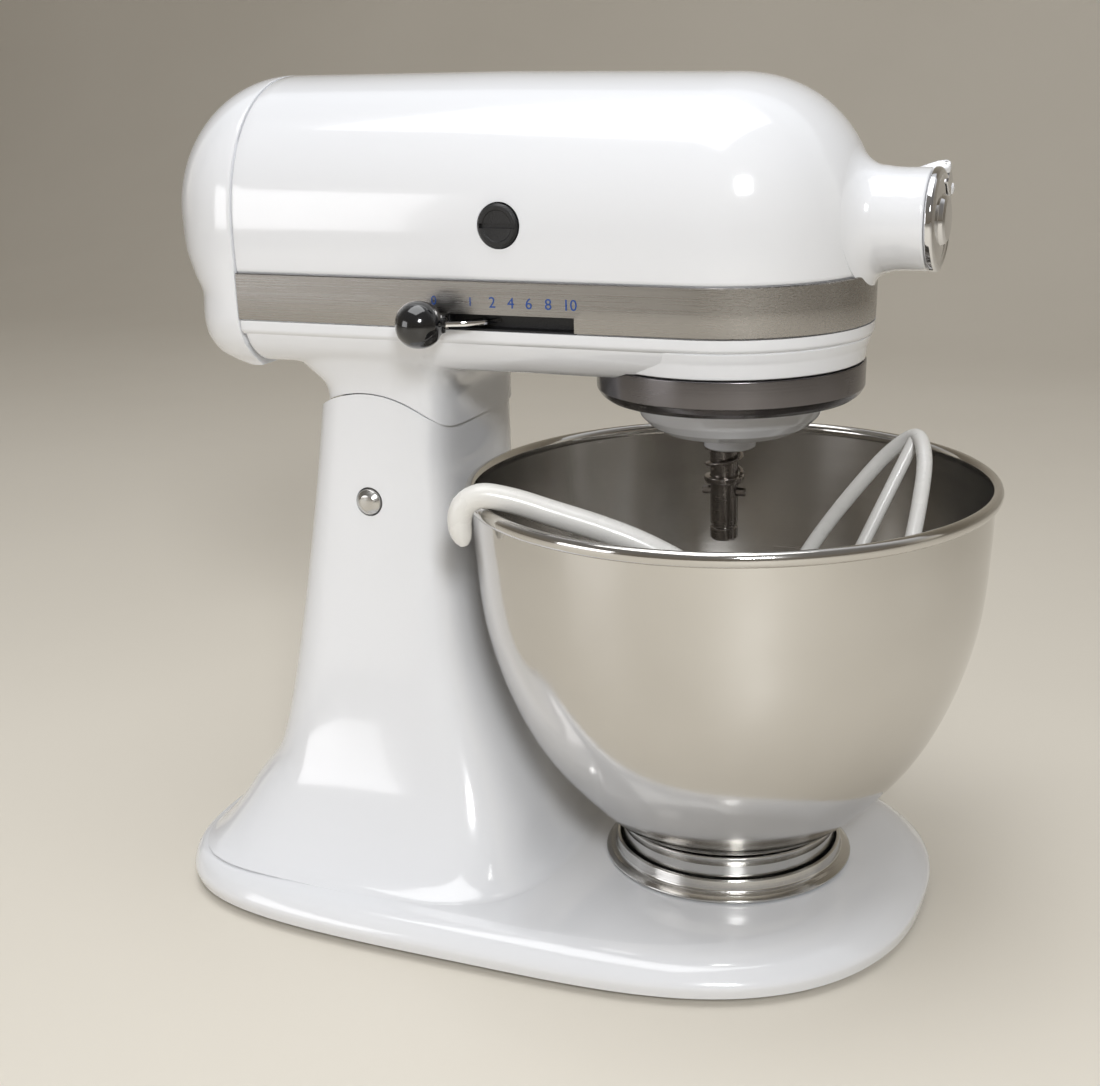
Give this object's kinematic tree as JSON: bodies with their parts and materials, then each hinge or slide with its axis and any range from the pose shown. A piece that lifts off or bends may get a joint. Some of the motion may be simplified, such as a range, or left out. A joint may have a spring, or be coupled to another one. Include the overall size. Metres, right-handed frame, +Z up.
{
  "type": "stand mixer",
  "caption": "White enamelled tilt-head stand mixer with a polished steel bowl, speed lever, planetary drive, front power hub, and a dough hook and flat beater lying in the bowl",
  "frame": {"origin": "bottom centre of the outline, on the plane of the feet", "axes": "+X towards the bowl end, +Z up, -Y the side with the speed lever"},
  "size_m": [0.3573, 0.2424, 0.3524],
  "materials": {
    "enamel": "glossy white baked enamel",
    "rubber": "matt moulded rubber",
    "polished_steel": "polished outside, fine turning marks inside",
    "plain_steel": "plain bright steel",
    "band_steel": "brushed along its length",
    "satin_chrome": "satin chrome",
    "chrome": "bright chrome",
    "gloss_black": "glossy moulded plastic",
    "matte_black": "matt moulded plastic",
    "iron": "plain iron",
    "dark_steel": "oiled dark steel",
    "bronze": "plain bronze",
    "copper": "turned copper",
    "coating": "smooth white coating"
  },
  "bodies": {
    "stand": {"base": "enamel", "foot_1": "rubber", "foot_2": "rubber", "foot_3": "rubber", "foot_4": "rubber", "foot_5": "rubber", "clamp_plate": "polished_steel", "plate_screw_1": "polished_steel", "plate_screw_2": "polished_steel", "plate_screw_3": "polished_steel", "hinge_pin": "plain_steel", "height_screw": "plain_steel"},
    "lock": {"lock_lever": "chrome", "lock_knob": "gloss_black"},
    "head": {"lower_case": "enamel", "motor_housing": "enamel", "end_cover": "enamel", "cover_screw": "plain_steel", "cord_gland": "matte_black", "trim_band": "band_steel", "drip_ring": "satin_chrome", "brush_cap_near": "matte_black", "brush_cap_far": "matte_black", "brush_near": "matte_black", "brush_far": "matte_black", "control_plate": "plain_steel", "stator": "iron", "bearing_rear": "bronze", "bearing_front": "bronze", "hub_bush": "bronze", "ring_gear": "iron", "hub_cover_pin": "plain_steel"},
    "speed": {"speed_lever": "chrome", "speed_knob": "gloss_black"},
    "rotor": {"armature_shaft": "dark_steel", "armature_core": "iron", "commutator": "copper", "fan": "matte_black", "worm": "dark_steel"},
    "wheel": {"worm_wheel": "bronze", "pinion_shaft": "dark_steel"},
    "carrier": {"centre_gear": "dark_steel", "centre_shaft": "dark_steel", "bevel_pinion": "dark_steel", "planetary": "enamel"},
    "beater_drive": {"planet_pinion": "dark_steel", "beater_shaft": "dark_steel", "cross_pin": "dark_steel", "spring": "dark_steel", "washer": "dark_steel"},
    "hub_drive": {"hub_gear": "dark_steel"},
    "cover": {"hub_cover": "chrome"},
    "knob": {"attachment_knob": "gloss_black"},
    "bowl": {"bowl": "polished_steel", "bowl_foot": "polished_steel", "bowl_handle": "dark_steel", "dough_hook": "coating", "flat_beater": "coating"}
  },
  "joints": [
    {"name": "head_tilt", "type": "hinge", "parent": "stand", "child": "head", "pos_m": [-0.07944, -0.01018, 0.1765], "axis": [0, -1, 0], "range_deg": [0, 50]},
    {"name": "lock_turn", "type": "hinge", "parent": "stand", "child": "lock", "pos_m": [-0.09794, -0.01018, 0.158], "axis": [0, 1, 0], "range_deg": [0, 45]},
    {"name": "speed_turn", "type": "hinge", "parent": "head", "child": "speed", "pos_m": [-0.00394, -0.02618, 0.2585], "axis": [0, 0, 1], "range_deg": [0, 46]},
    {"name": "rotor_spin", "type": "hinge", "parent": "head", "child": "rotor", "pos_m": [0.06806, -0.01018, 0.295], "axis": [1, 0, 0], "continuous": true},
    {"name": "wheel_spin", "type": "hinge", "parent": "head", "child": "wheel", "pos_m": [0.03588, 0.01682, 0.295], "axis": [0, 0, 1], "continuous": true},
    {"name": "planetary_spin", "type": "hinge", "parent": "head", "child": "carrier", "pos_m": [0.06806, -0.01018, 0.23], "axis": [0, 0, 1], "continuous": true},
    {"name": "beater_spin", "type": "hinge", "parent": "carrier", "child": "beater_drive", "pos_m": [0.05836, 0.01341, 0.2], "axis": [0, 0, 1], "continuous": true},
    {"name": "hub_spin", "type": "hinge", "parent": "head", "child": "hub_drive", "pos_m": [0.06806, -0.01018, 0.295], "axis": [1, 0, 0], "continuous": true},
    {"name": "hub_cover_lift", "type": "hinge", "parent": "head", "child": "cover", "pos_m": [0.15046, 0.00467, 0.30985], "axis": [0, -0.7071, 0.7071], "range_deg": [0, 95]},
    {"name": "attachment_knob_turn", "type": "hinge", "parent": "head", "child": "knob", "pos_m": [0.13606, 0.01982, 0.295], "axis": [0, 1, 0], "continuous": true},
    {"name": "bowl_lift", "type": "slide", "parent": "stand", "child": "bowl", "axis": [0, 0, 1], "range_m": [0, 0.025]}
  ],
  "couplings": [
    {"joint": "wheel_spin", "follows": "rotor_spin", "ratio": -0.03125},
    {"joint": "planetary_spin", "follows": "rotor_spin", "ratio": 0.0085227},
    {"joint": "beater_spin", "follows": "rotor_spin", "ratio": -0.027841},
    {"joint": "hub_spin", "follows": "rotor_spin", "ratio": 0.0085227}
  ]
}
